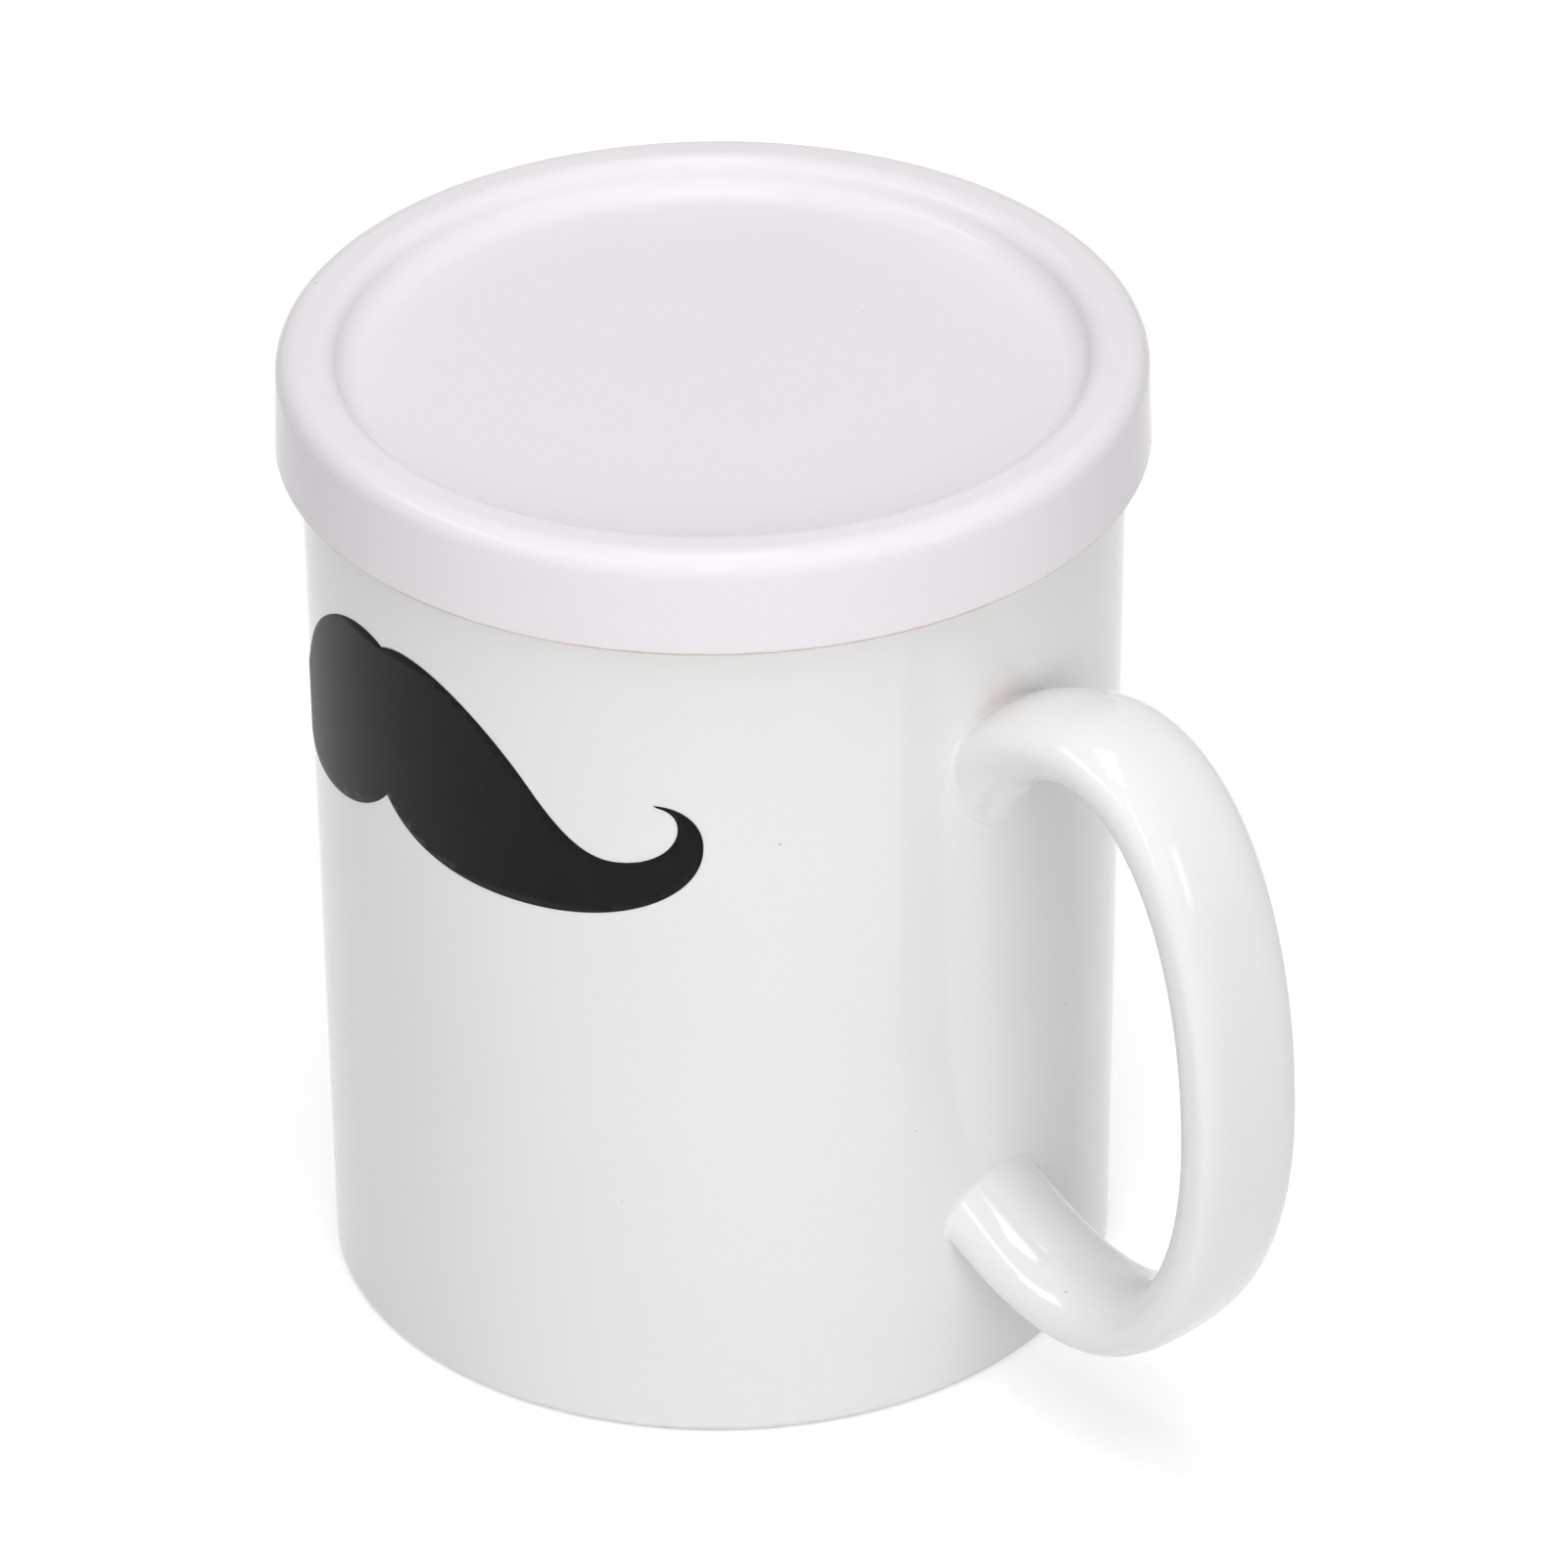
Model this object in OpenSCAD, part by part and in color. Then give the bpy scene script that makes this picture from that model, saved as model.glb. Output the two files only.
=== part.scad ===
// Ceramic mug with a strap handle, a cap lid and a printed moustache.
// The origin is the centre of the foot ring, +Z is up and +X runs through the handle.
// Lengths are in millimetres and angles in degrees.

/* [Mug body] */
// Height from the foot to the top of the lip
body_h = 96; // [92:1:112]
// Outer diameter at the lip
rim_d = 82; // [74:0.5:100]
// Outer diameter just above the foot
base_d = 80; // [70:0.5:100]
// Thickness of the wall
wall = 3.8; // [2.5:0.1:6]
// Thickness of the floor above the hollow of the foot
floor_t = 4.5; // [3:0.1:8]
// Radius of the inside corner between wall and floor
floor_fillet = 9; // [2:0.5:14]
// Radius of the outside edge at the foot
base_edge = 1; // [0.5:0.1:4]
// Width of the foot ring
foot_w = 4.5; // [3:0.1:8]
// Depth of the hollow inside the foot ring
foot_hollow = 1.8; // [1.3:0.1:3]
// Radius of the cove on the inner side of the foot ring
foot_cove = 1.2; // [0.2:0.1:1.6]

/* [Handle] */
// Height where the centre line of the upper end meets the wall
handle_top_z = 74.8; // [60:0.1:78]
// Height where the centre line of the lower end meets the wall
handle_low_z = 19; // [16:0.1:34]
// Height of the point that stands furthest from the wall
handle_mid_z = 43.2; // [40:0.1:54]
// Reach of the centre line from the wall
handle_reach = 32.5; // [24:0.1:40]
// Slope at which the upper end rises from the wall
handle_top_rise = 39; // [10:0.5:50]
// Slope at which the lower end drops from the wall
handle_low_drop = 31; // [10:0.5:50]
// Length of the pull that keeps the upper end straight
handle_top_pull = 25.9; // [12:0.1:32]
// Length of the pull above the furthest point
handle_upper_pull = 26.4; // [12:0.1:36]
// Length of the pull below the furthest point
handle_lower_pull = 19.1; // [12:0.1:34]
// Length of the pull that keeps the lower end straight
handle_low_pull = 26; // [10:0.1:30]
// Width of the strap across the grip
strap_w = 13.6; // [10:0.1:18]
// Width of the strap at both ends
strap_end_w = 13.4; // [10:0.1:18]
// Thickness of the strap at its upper end
strap_top_t = 10.7; // [5:0.1:12]
// Thickness of the strap at the furthest point
strap_mid_t = 5.9; // [4:0.1:11]
// Thickness of the strap at its lower end
strap_low_t = 7.1; // [4:0.1:11]
// Radius of the fillet where the strap flows into the wall
strap_fillet = 0.6; // [0.5:0.1:4]

/* [Lid] */
// Thickness of the skirt
skirt_t = 2.05; // [1.2:0.05:4]
// Height from the lower edge of the skirt to the crest
lid_h = 10.6; // [9:0.1:16]
// Depth of the skirt below the seat
skirt_h = 3.4; // [2:0.1:5]
// Inward lean of the outer side
lid_lean = 2; // [0:0.5:5]
// Radius of the outer edge of the crest
crest_edge = 2.4; // [1:0.1:3.5]
// Width of the flat on the crest
crest_w = 1.6; // [0.5:0.1:3]
// Depth of the dished top below the crest
dish_depth = 3.6; // [2:0.1:4.5]
// Radial run of the curved side of the dish
dish_run = 4.6; // [4:0.1:7]
// Radius of the small edges of the skirt
skirt_edge = 0.5; // [0.2:0.1:0.8]
// Radius of the inside corner between skirt and seat
seat_fillet = 1; // [0.3:0.1:1.5]

/* [Print] */
// Width of the moustache along the curved wall
print_w = 72.4; // [40:0.2:80]
// Height of the moustache
print_h = 23.6; // [12:0.2:30]
// Height of the lowest point of the moustache
print_z = 60.8; // [20:0.2:64]
// Turn from the handle to the middle of the moustache
print_turn = 96.5; // [85:0.5:100]
// Thickness of the fired ink
print_t = 0.1; // [0.05:0.01:0.3]

/* [Clearances] */
// Gap between the skirt of the lid and the lip
lid_gap = 0.4; // [0.2:0.05:1]
// Gap between the seat of the lid and the top of the lip
seat_gap = 0.3; // [0.1:0.05:0.6]

/* [Hidden] */

$fn = 96;
// Straight steps in one arc of a turned profile
arc_steps = 10;
// Straight steps in one curve of the moustache
curve_steps = 9;
// Rings along the handle, rings in each of its fillets and points around each ring
ring_count = 60;
seat_rings = 5;
ring_points = 32;
// Halvings that find where the handle meets the wall
halvings = 30;
// Depth at which the handle's fillets run out below the wall's skin
seat_sink = 0.05;
// Part of the strap's thickness that lies outside its widest line, at the grip and at the ends
grip_face_share = 0.4;
end_face_share = 0.33;
// Roundness of the grip's flat outer face with its tight edges, and of its back. The ends are ovals, at 1.
face_power_share = 0.55;
back_power_share = 0.85;
// Part of the dish's curved side that is the convex arc
dish_convex_share = 0.42;

rim_r = rim_d / 2;
base_r = base_d / 2;
lip_r = wall / 2;
lip_c = [rim_r - lip_r, body_h - lip_r];
base_c = [base_r - base_edge, base_edge];
floor_z = foot_hollow + floor_t;

// Angle of the outward normal of a line that touches two circles on their right
function touch_angle(c1, r1, c2, r2) =
    let (d = c2 - c1)
    atan2(d.y, d.x) - acos((r1 - r2) / norm(d));

function polar(c, r, a) = c + r * [cos(a), sin(a)];

function arc(c, r, a1, a2) =
    [for (i = [0 : arc_steps]) polar(c, r, a1 + (a2 - a1) * i / arc_steps)];

wall_a = touch_angle(base_c, base_edge, lip_c, lip_r);
wall_low = polar(base_c, base_edge, wall_a);
wall_top = polar(lip_c, lip_r, wall_a);

// Outer radius of the wall at a height
function wall_r(z) =
    wall_low.x + (z - wall_low.y) * (wall_top.x - wall_low.x) / (wall_top.y - wall_low.y);

// Centre of the inside corner, which touches the inner wall and the floor
corner_c = [
    wall_r(floor_z + floor_fillet) - (wall + floor_fillet) / cos(wall_a),
    floor_z + floor_fillet
];

module mug_profile() {
    hollow_r = base_c.x - foot_w;
    polygon(concat(
        [[0, foot_hollow]],
        arc([hollow_r - foot_cove, foot_hollow - foot_cove], foot_cove, 90, 0),
        [[hollow_r, 0]],
        arc(base_c, base_edge, -90, wall_a),
        arc(lip_c, lip_r, wall_a, wall_a + 180),
        arc(corner_c, floor_fillet, wall_a, -90),
        [[0, floor_z]]
    ));
}

module mug_body() {
    color("whitesmoke")
        rotate_extrude()
            mug_profile();
}

// The wall's own cone, grown by a thickness, up to a height
module wall_cone(grow, top) {
    cylinder(h = top, r1 = wall_r(0) + grow, r2 = wall_r(top) + grow);
}

// Point of a cubic curve through p[0] and p[3], pulled towards p[1] and p[2]
function cubic(p, t) =
    pow(1 - t, 3) * p[0] + 3 * pow(1 - t, 2) * t * p[1] + 3 * (1 - t) * t * t * p[2] + t * t * t * p[3];

function cubic_slope(p, t) =
    3 * pow(1 - t, 2) * (p[1] - p[0]) + 6 * (1 - t) * t * (p[2] - p[1]) + 3 * t * t * (p[3] - p[2]);

// Centre line of the handle in the plane through the axis: x is the radius, y the height
top_dir = [cos(handle_top_rise), sin(handle_top_rise)];
low_dir = [cos(handle_low_drop), -sin(handle_low_drop)];
top_p = [wall_r(handle_top_z), handle_top_z];
low_p = [wall_r(handle_low_z), handle_low_z];
mid_p = [wall_r(handle_mid_z) + handle_reach, handle_mid_z];
upper_curve = [top_p, top_p + handle_top_pull * top_dir, mid_p + [0, handle_upper_pull], mid_p];
lower_curve = [mid_p, mid_p - [0, handle_lower_pull], low_p + handle_low_pull * low_dir, low_p];
top_slope = cubic_slope(upper_curve, 0);
low_slope = cubic_slope(lower_curve, 1);

// Place at step t: 0 at the upper wall, 1 at the furthest point, 2 at the lower wall.
// Inside the wall the line runs straight on.
function strap_point(t) =
    t < 0 ? top_p + top_slope * t
    : t > 2 ? low_p + low_slope * (t - 2)
    : t <= 1 ? cubic(upper_curve, t)
    : cubic(lower_curve, t - 1);

function strap_slope(t) =
    t < 0 ? top_slope
    : t > 2 ? low_slope
    : t <= 1 ? cubic_slope(upper_curve, t)
    : cubic_slope(lower_curve, t - 1);

// Part of the end's section that is left at a step: all of it at both ends, none at the furthest point
function end_part(t) = pow(cos(90 * min(2, max(0, t))), 2);

function between(a, b, share) = a + (b - a) * share;

function rounded(v, power) = sign(v) * pow(abs(v), power);

// Point k of the section at step t
function rail(t, k) =
    let (
        p = strap_point(t),
        d = strap_slope(t) / norm(strap_slope(t)),
        part = end_part(t),
        a = 360 * k / ring_points,
        face = sin(a) >= 0,
        power = between(face ? face_power_share : back_power_share, 1, part),
        outside = between(grip_face_share, end_face_share, part),
        thick = between(strap_mid_t, t < 1 ? strap_top_t : strap_low_t, part),
        depth = thick * (face ? outside : 1 - outside),
        half_w = between(strap_w, strap_end_w, part) / 2,
        q = p + [-d.y, d.x] * depth * rounded(sin(a), power)
    )
    [q.x, half_w * rounded(cos(a), power), q.y];

// Point of the wall at the height of p, sunk below the skin
function on_wall(p, sunk) =
    let (r = (wall_r(p.z) - sunk) / norm([p.x, p.y]))
    [r * p.x, r * p.y, p.z];

// Step at which rail k meets the wall, found by halving between a step inside the wall and one outside it
function meet(k, inside, outside, tries) =
    let (t = (inside + outside) / 2, p = rail(t, k))
    tries == 0 ? outside
    : norm([p.x, p.y]) < wall_r(p.z) ? meet(k, t, outside, tries - 1)
    : meet(k, inside, t, tries - 1);

// Steps inside the wall that hold the whole section, and the steps where each rail meets the wall
deepest = max(strap_top_t, strap_low_t);
strap_root = max(strap_w, strap_end_w) + deepest * tan(max(handle_top_rise, handle_low_drop));
top_in = -strap_root / norm(top_slope);
low_in = 2 + strap_root / norm(low_slope);
top_meets = [for (k = [0 : ring_points - 1]) meet(k, top_in, 1 / 2, halvings)];
low_meets = [for (k = [0 : ring_points - 1]) meet(k, low_in, 3 / 2, halvings)];
top_fillet = strap_fillet / norm(top_slope);
low_fillet = -strap_fillet / norm(low_slope);

// Point of the wall where the fillet of rail k ends, a fillet's radius outside the meeting point
function seat_foot(k, meet_t, sunk) =
    let (
        hit = rail(meet_t, k),
        c = strap_point(meet_t),
        n = [hit.x, hit.y, 0] / norm([hit.x, hit.y]),
        out = hit - [c.x, 0, c.y],
        spread = out - n * (out * n)
    )
    on_wall(hit + spread * strap_fillet / norm(spread), sunk);

// Ring j of the fillet at one end, which leaves the wall and the strap without a corner
function seat_ring(j, meets, fillet) =
    let (s = j / seat_rings)
    [for (k = [0 : ring_points - 1])
        pow(1 - s, 2) * seat_foot(k, meets[k], seat_sink)
        + 2 * s * (1 - s) * rail(meets[k], k)
        + s * s * rail(meets[k] + fillet, k)
    ];

function sunk_ring(meets) = [for (k = [0 : ring_points - 1]) seat_foot(k, meets[k], lip_r)];

// Ring i of the strap between its two fillets
function strap_ring(i) =
    let (share = i / ring_count)
    [for (k = [0 : ring_points - 1])
        rail(between(top_meets[k] + top_fillet, low_meets[k] + low_fillet, share), k)
    ];

strap_rings = concat(
    [sunk_ring(top_meets)],
    [for (j = [0 : seat_rings - 1]) seat_ring(j, top_meets, top_fillet)],
    [for (i = [0 : ring_count]) strap_ring(i)],
    [for (j = [seat_rings - 1 : -1 : 0]) seat_ring(j, low_meets, low_fillet)],
    [sunk_ring(low_meets)]
);

strap_top_z = max([for (ring = strap_rings, p = ring) p.z]);

// Skin over a row of rings, with a flat fan at each end
module loft(rings) {
    n = len(rings[0]);
    last = len(rings) - 1;
    sides = [for (i = [0 : last - 1], k = [0 : n - 1])
        let (a = i * n + k, b = i * n + (k + 1) % n)
        each [[a, b + n, b], [a, a + n, b + n]]
    ];
    caps = [for (k = [1 : n - 2]) each [[0, k, k + 1], [last * n, last * n + k + 1, last * n + k]]];
    polyhedron(points = [for (r = rings) each r], faces = concat(sides, caps));
}

module handle() {
    color("white")
        difference() {
            loft(strap_rings);
            wall_cone(0, max(body_h, strap_top_z));
        }
}

// Right half of the moustache as curves, in shares of half its width and of its height
moustache_shares = [
    [[0, 0.953], [0.15, 1.055], [0.36, 0.88], [0.517, 0.564]],
    [[0.517, 0.564], [0.611, 0.373], [0.677, 0.284], [0.76, 0.284]],
    [[0.76, 0.284], [0.862, 0.284], [0.932, 0.369], [0.932, 0.47]],
    [[0.932, 0.47], [0.932, 0.525], [0.909, 0.559], [0.867, 0.57]],
    [[0.867, 0.575], [0.95, 0.575], [1, 0.49], [1, 0.386]],
    [[1, 0.386], [1, 0.165], [0.826, 0], [0.511, 0]],
    [[0.511, 0], [0.249, 0], [0.088, 0.081], [0, 0.237]]
];

// Point of the outline, rolled round the wall and seen from straight in front
function print_point(share, side) =
    let (r = wall_r(print_z + share.y * print_h), turn = side * share.x * print_w / 2 / r * 180 / PI)
    [r * sin(turn), print_z + share.y * print_h];

module moustache_outline() {
    half = [for (c = moustache_shares, i = [0 : curve_steps - 1]) cubic(c, i / curve_steps)];
    back = [for (i = [len(half) - 1 : -1 : 1]) half[i]];
    low = moustache_shares[len(moustache_shares) - 1][3];
    polygon(concat(
        [for (s = half) print_point(s, 1)],
        [print_point(low, 1)],
        [for (s = back) print_point(s, -1)]
    ));
}

module moustache_print() {
    color("darkslategray")
        intersection() {
            difference() {
                wall_cone(print_t, body_h);
                wall_cone(0, body_h);
            }
            rotate([0, 0, 90 - print_turn])
                rotate([90, 0, 0])
                    linear_extrude(height = rim_d)
                        moustache_outline();
        }
}

// Heights and radii of the lid where it sits on the lip
seat_z = body_h + seat_gap;
skirt_z = seat_z - skirt_h;
crest_z = skirt_z + lid_h;
dish_z = crest_z - dish_depth;
skirt_in_r = rim_r + lid_gap;
lid_r = skirt_in_r + skirt_t;
crest_out_r = lid_r - (lid_h - crest_edge) * tan(lid_lean);
crest_c = [crest_out_r - crest_edge, crest_z - crest_edge];
hem_c = [lid_r - skirt_edge, skirt_z + skirt_edge];
side_a = touch_angle(hem_c, skirt_edge, crest_c, crest_edge);

// The dish's side is a convex arc that runs into a concave one
dish_a = 2 * atan(dish_depth / dish_run);
dish_arcs = dish_run / sin(dish_a);
convex_r = dish_convex_share * dish_arcs;
concave_r = dish_arcs - convex_r;
dish_top_r = crest_c.x - crest_w;
convex_c = [dish_top_r, crest_z - convex_r];
concave_c = [dish_top_r - dish_run, dish_z + concave_r];

module lid_profile() {
    polygon(concat(
        [[0, seat_z]],
        arc([skirt_in_r - seat_fillet, seat_z - seat_fillet], seat_fillet, 90, 0),
        arc([skirt_in_r + skirt_edge, skirt_z + skirt_edge], skirt_edge, 180, 270),
        arc(hem_c, skirt_edge, -90, side_a),
        arc(crest_c, crest_edge, side_a, 90),
        arc(convex_c, convex_r, 90, 90 + dish_a),
        arc(concave_c, concave_r, dish_a - 90, -90),
        [[0, dish_z]]
    ));
}

module lid() {
    color("snow")
        rotate_extrude()
            lid_profile();
}

mug_body();
handle();
moustache_print();
lid();
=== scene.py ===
"""Lidded ceramic mug with a printed moustache, dressed for a plain studio picture.

Lengths are written in millimetres in the part's own frame: the origin is the centre of the foot ring, +Z is
up and +X runs through the handle. Meshes are made in metres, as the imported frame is. The lamps, the floor and
the clip distances of the camera are written in metres.
"""

import logging
import math
from collections.abc import Sequence
from dataclasses import dataclass, field
from enum import Enum

import bmesh
import bpy
from mathutils import Matrix, Vector
from mathutils.geometry import delaunay_2d_cdt


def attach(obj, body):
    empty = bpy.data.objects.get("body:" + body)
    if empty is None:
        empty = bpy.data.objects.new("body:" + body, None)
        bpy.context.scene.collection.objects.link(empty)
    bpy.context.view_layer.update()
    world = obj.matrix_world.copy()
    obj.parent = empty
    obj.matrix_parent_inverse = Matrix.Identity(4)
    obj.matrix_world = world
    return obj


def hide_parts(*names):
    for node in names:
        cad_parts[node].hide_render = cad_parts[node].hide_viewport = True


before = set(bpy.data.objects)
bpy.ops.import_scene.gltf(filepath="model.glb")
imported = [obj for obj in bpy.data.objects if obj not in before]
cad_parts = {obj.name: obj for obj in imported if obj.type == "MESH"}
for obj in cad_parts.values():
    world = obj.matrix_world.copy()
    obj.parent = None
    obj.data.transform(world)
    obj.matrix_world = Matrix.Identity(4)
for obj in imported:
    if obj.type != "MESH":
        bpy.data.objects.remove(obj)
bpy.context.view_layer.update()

log = logging.getLogger("mug")

MM = 0.001
HALF = 0.5
BEYOND = 1.0
WHITE = (1, 1, 1, 1)

Colour = tuple[float, float, float, float]
Ring = list[Vector]


class Body(Enum):
    """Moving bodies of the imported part."""

    CUP = "cup"
    LID = "lid"


class Slot(Enum):
    """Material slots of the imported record."""

    BODY_GLAZE = "body_glaze"
    PRINT_INK = "print_ink"
    LID_GLAZE = "lid_glaze"


class Duty(Enum):
    """What a lamp does: light the mug softly, or only shine back from its gloss."""

    LIGHT = "light"
    SHINE = "shine"


def between(a: float, b: float, share: float) -> float:
    """Value that lies a share of the way from a to b."""
    return a + (b - a) * share


def polar(centre: Vector, radius: float, degrees: float) -> Vector:
    """Finds a point on a circle.

    Args:
        centre: Middle of the circle.
        radius: Radius of the circle.
        degrees: Angle from the first axis.

    Returns:
        The point at that angle.
    """
    a = math.radians(degrees)
    return centre + radius * Vector((math.cos(a), math.sin(a)))


def touch_angle(c1: Vector, r1: float, c2: Vector, r2: float) -> float:
    """Finds the line that touches two circles on their right.

    Args:
        c1: Centre of the circle where the line starts.
        r1: Radius of that circle.
        c2: Centre of the circle where the line ends.
        r2: Radius of that circle.

    Returns:
        Angle of the line's outward normal, in degrees.
    """
    d = c2 - c1
    return math.degrees(math.atan2(d.y, d.x) - math.acos((r1 - r2) / d.length))


def cubic(points: Sequence[Vector], t: float) -> Vector:
    """Finds a point of a cubic curve.

    Args:
        points: Start, two pulls and end of the curve.
        t: Share of the way from start to end.

    Returns:
        The point there.
    """
    s = 1 - t
    return s**3 * points[0] + 3 * s * s * t * points[1] + 3 * s * t * t * points[2] + t**3 * points[3]


def cubic_slope(points: Sequence[Vector], t: float) -> Vector:
    """Finds the slope of a cubic curve.

    Args:
        points: Start, two pulls and end of the curve.
        t: Share of the way from start to end.

    Returns:
        Change of the point for a whole step of t.
    """
    s = 1 - t
    first, second, third = (b - a for a, b in zip(points, points[1:]))
    return 3 * s * s * first + 6 * s * t * second + 3 * t * t * third


def cone_point(radius: float, turn: float, height: float) -> Vector:
    """Finds a point round the mug's axis.

    Args:
        radius: Distance from the axis.
        turn: Angle from the handle, in radians.
        height: Height above the foot.

    Returns:
        The point, in the same unit as radius and height.
    """
    return Vector((radius * math.cos(turn), radius * math.sin(turn), height))


@dataclass
class Profile:
    """A turned outline in radius and height, walked from the axis round to the axis."""

    step: float = 1.6
    arc_degrees: float = 6.0
    same_spot: float = 0.016
    points: list[Vector] = field(default_factory=list)

    def start(self, radius: float, height: float) -> "Profile":
        """Begins the walk at a point."""
        self.points = [Vector((radius, height))]
        return self

    def line(self, target: Vector) -> "Profile":
        """Walks straight to a point, in short steps.

        Args:
            target: Radius and height of the point.

        Returns:
            The profile itself.
        """
        last = self.points[-1].copy()
        away = target - last
        steps = math.ceil(away.length / self.step)
        self.points += [last + away * i / steps for i in range(1, steps + 1)]
        return self

    def arc(self, centre: Vector, radius: float, first: float, last: float) -> "Profile":
        """Walks straight to the start of an arc and then along it.

        Args:
            centre: Centre of the arc.
            radius: Radius of the arc.
            first: Angle where the arc starts, in degrees.
            last: Angle where the arc ends, in degrees.

        Returns:
            The profile itself.
        """
        begin = polar(centre, radius, first)
        if (begin - self.points[-1]).length > self.same_spot:
            self.line(begin)
        steps = math.ceil(abs(last - first) / self.arc_degrees)
        angles = [first + (last - first) * i / steps for i in range(1, steps + 1)]
        self.points += [polar(centre, radius, a) for a in angles]
        return self


@dataclass(frozen=True)
class Piece:
    """One visible piece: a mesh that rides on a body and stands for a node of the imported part."""

    name: str
    body: Body
    slot: Slot
    node: str

    def place(self, bm: bmesh.types.BMesh, material: bpy.types.Material) -> bpy.types.Object:
        """Turns a mesh in millimetres into an object of the scene.

        Args:
            bm: The mesh, which is freed.
            material: Finish of the piece.

        Returns:
            The new object, which rides on its body.
        """
        bmesh.ops.recalc_face_normals(bm, faces=bm.faces[:])
        bmesh.ops.scale(bm, vec=(MM, MM, MM), verts=bm.verts[:])
        mesh = bpy.data.meshes.new(self.name)
        bm.to_mesh(mesh)
        bm.free()
        mesh.shade_smooth()
        mesh.materials.append(material)
        piece = bpy.data.objects.new(self.name, mesh)
        bpy.context.scene.collection.objects.link(piece)
        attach(piece, self.body.value)
        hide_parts(self.node)
        log.info("%s: %d faces on %s", self.name, len(mesh.polygons), self.body.value)
        return piece


def skin(bm: bmesh.types.BMesh, rings: Sequence[Sequence[bmesh.types.BMVert]]) -> None:
    """Joins a row of closed rings with faces.

    Args:
        bm: Mesh that holds the rings.
        rings: Rings in order. A ring of one point closes to a tip.
    """
    for a, b in zip(rings, rings[1:]):
        count = max(len(a), len(b))
        for k in range(count):
            corners = [a[k % len(a)], a[(k + 1) % len(a)], b[(k + 1) % len(b)], b[k % len(b)]]
            bm.faces.new(dict.fromkeys(corners))


def turned(profile: Profile, segments: int) -> bmesh.types.BMesh:
    """Turns a profile round the mug's axis.

    Args:
        profile: Outline that starts and ends on the axis.
        segments: Faces in one turn.

    Returns:
        The closed mesh, in millimetres.
    """
    bm = bmesh.new()
    rings = []
    for point in profile.points:
        count = segments if point.x > profile.same_spot else 1
        ring = [cone_point(point.x, math.tau * k / count, point.y) for k in range(count)]
        rings.append([bm.verts.new(p) for p in ring])
    skin(bm, rings)
    return bm


@dataclass
class MugBody:
    """The cup itself, turned in one piece with its foot ring and its rounded lip."""

    height: float = 96.0
    rim_d: float = 82.0
    base_d: float = 80.0
    wall: float = 3.8
    floor_t: float = 4.5
    floor_fillet: float = 9.0
    base_edge: float = 1.0
    foot_w: float = 4.5
    foot_hollow: float = 1.8
    foot_cove: float = 1.2
    foot_edge: float = 0.4
    bare_h: float = 0.35
    thin_lip: float = 0.7
    segments: int = 224

    def __post_init__(self) -> None:
        """Works out the circles that the profile is made of."""
        self.lip_r = self.wall / 2
        self.lip = Vector((self.rim_d / 2 - self.lip_r, self.height - self.lip_r))
        self.base = Vector((self.base_d / 2 - self.base_edge, self.base_edge))
        self.floor_z = self.foot_hollow + self.floor_t
        self.wall_a = touch_angle(self.base, self.base_edge, self.lip, self.lip_r)
        self.wall_low = polar(self.base, self.base_edge, self.wall_a)
        self.wall_top = polar(self.lip, self.lip_r, self.wall_a)

    def wall_radius(self, z: float) -> float:
        """Outer radius of the straight wall at a height."""
        share = (z - self.wall_low.y) / (self.wall_top.y - self.wall_low.y)
        return self.wall_low.x + share * (self.wall_top.x - self.wall_low.x)

    def profile(self) -> Profile:
        """Draws the outline from the hollow of the foot, up the wall, over the lip and down to the floor.

        Returns:
            The outline.
        """
        corner_z = self.floor_z + self.floor_fillet
        inside = (self.wall + self.floor_fillet) / math.cos(math.radians(self.wall_a))
        corner = Vector((self.wall_radius(corner_z) - inside, corner_z))
        hollow_r = self.base.x - self.foot_w
        cove = Vector((hollow_r - self.foot_cove, self.foot_hollow - self.foot_cove))
        foot = Vector((hollow_r + self.foot_edge, self.foot_edge))
        p = Profile().start(0, self.foot_hollow)
        p.arc(cove, self.foot_cove, 90, 0).arc(foot, self.foot_edge, 180, 270)
        p.arc(self.base, self.base_edge, -90, self.wall_a)
        p.arc(self.lip, self.lip_r, self.wall_a, self.wall_a + 180)
        return p.arc(corner, self.floor_fillet, self.wall_a, -90).line(Vector((0, self.floor_z)))

    def build(self, material: bpy.types.Material) -> bpy.types.Object:
        """Makes the cup and dresses it.

        Args:
            material: Glaze of the cup.

        Returns:
            The new object.
        """
        piece = Piece("mug_cup", Body.CUP, Slot.BODY_GLAZE, "mug_body")
        return piece.place(turned(self.profile(), self.segments), material)


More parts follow.
